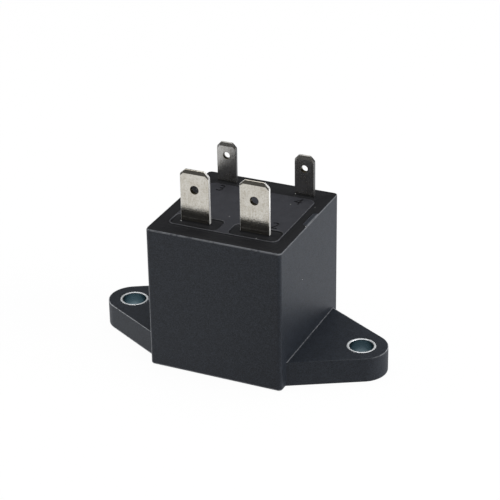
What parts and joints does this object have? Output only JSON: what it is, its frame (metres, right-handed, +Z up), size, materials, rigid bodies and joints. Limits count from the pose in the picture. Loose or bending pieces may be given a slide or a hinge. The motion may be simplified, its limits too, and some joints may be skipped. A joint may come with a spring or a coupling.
{
  "type": "dc contactor",
  "caption": "Small sealed dc contactor: square black case with tapered mounting ears, potted top with load and coil push-on tabs, and a plunger magnet with a double-break contact bridge inside.",
  "frame": {"origin": "middle of the case on the mounting face, half-way between the two mounting holes", "axes": "+X through both mounting holes, +Z up along the tabs, and the load tabs stand towards -Y"},
  "size_m": [0.063, 0.0304, 0.0425],
  "materials": {
    "case_plastic": "black glass-filled moulding, fine matte grain",
    "base_plastic": "black moulding, fine matte grain",
    "resin": "black potting resin, glossy",
    "tinned_tab": "tin-plated brass strip, satin",
    "zinc_sleeve": "bright zinc-plated steel with a bluish tint",
    "silver_contact": "silver-alloy contact, satin",
    "copper_strip": "bare copper strip",
    "spring_steel": "spring wire, bright",
    "steel_shaft": "turned stainless steel",
    "soft_iron": "turned magnet iron, dull nickel",
    "frame_steel": "pressed steel, zinc plated",
    "brass_guide": "drawn brass tube",
    "bobbin_plastic": "natural moulded plastic",
    "enamelled_wire": "enamelled copper wire",
    "coil_tape": "yellow polyester tape",
    "chamber_plastic": "pale arc-resistant moulding",
    "ferrite": "sintered ferrite magnet",
    "damper_rubber": "black rubber"
  },
  "bodies": {
    "root": {"housing": "case_plastic", "mounting_sleeve_left": "zinc_sleeve", "mounting_sleeve_right": "zinc_sleeve", "terminal_base": "base_plastic", "rim_potting": "resin", "well_potting_left": "resin", "well_potting_right": "resin", "load_terminal_left": "tinned_tab", "load_terminal_right": "tinned_tab", "coil_terminal_left": "tinned_tab", "coil_terminal_right": "tinned_tab", "fixed_contact_left": "silver_contact", "fixed_contact_right": "silver_contact", "return_spring": "spring_steel", "fixed_core": "soft_iron", "pole_plate": "frame_steel", "yoke": "frame_steel", "guide_sleeve": "brass_guide", "bobbin": "bobbin_plastic", "coil_winding": "enamelled_wire", "winding_tape": "coil_tape", "coil_lead_left": "enamelled_wire", "coil_lead_right": "enamelled_wire", "arc_chamber": "chamber_plastic", "magnet_front": "ferrite", "magnet_back": "ferrite", "keeper_front": "frame_steel", "keeper_back": "frame_steel", "plunger_damper": "damper_rubber"},
    "armature": {"shaft": "steel_shaft", "plunger": "soft_iron", "bridge_clip": "spring_steel", "contact_spring": "spring_steel"},
    "bridge": {"contact_bridge": "copper_strip", "moving_contact_left": "silver_contact", "moving_contact_right": "silver_contact"}
  },
  "joints": [
    {"name": "plunger_slide", "type": "slide", "parent": "root", "child": "armature", "axis": [0, 0, 1], "range_m": [0, 0.00208], "stiffness_N_per_m": 200, "springref_m": -0.003, "deforming": ["return_spring"]},
    {"name": "contact_overtravel", "type": "slide", "parent": "armature", "child": "bridge", "axis": [0, 0, -1], "range_m": [0, 0.0006], "deforming": ["contact_spring"]}
  ],
  "couplings": [
    {"joint": "contact_overtravel", "follows": "plunger_slide", "ratio": 0.2884}
  ]
}
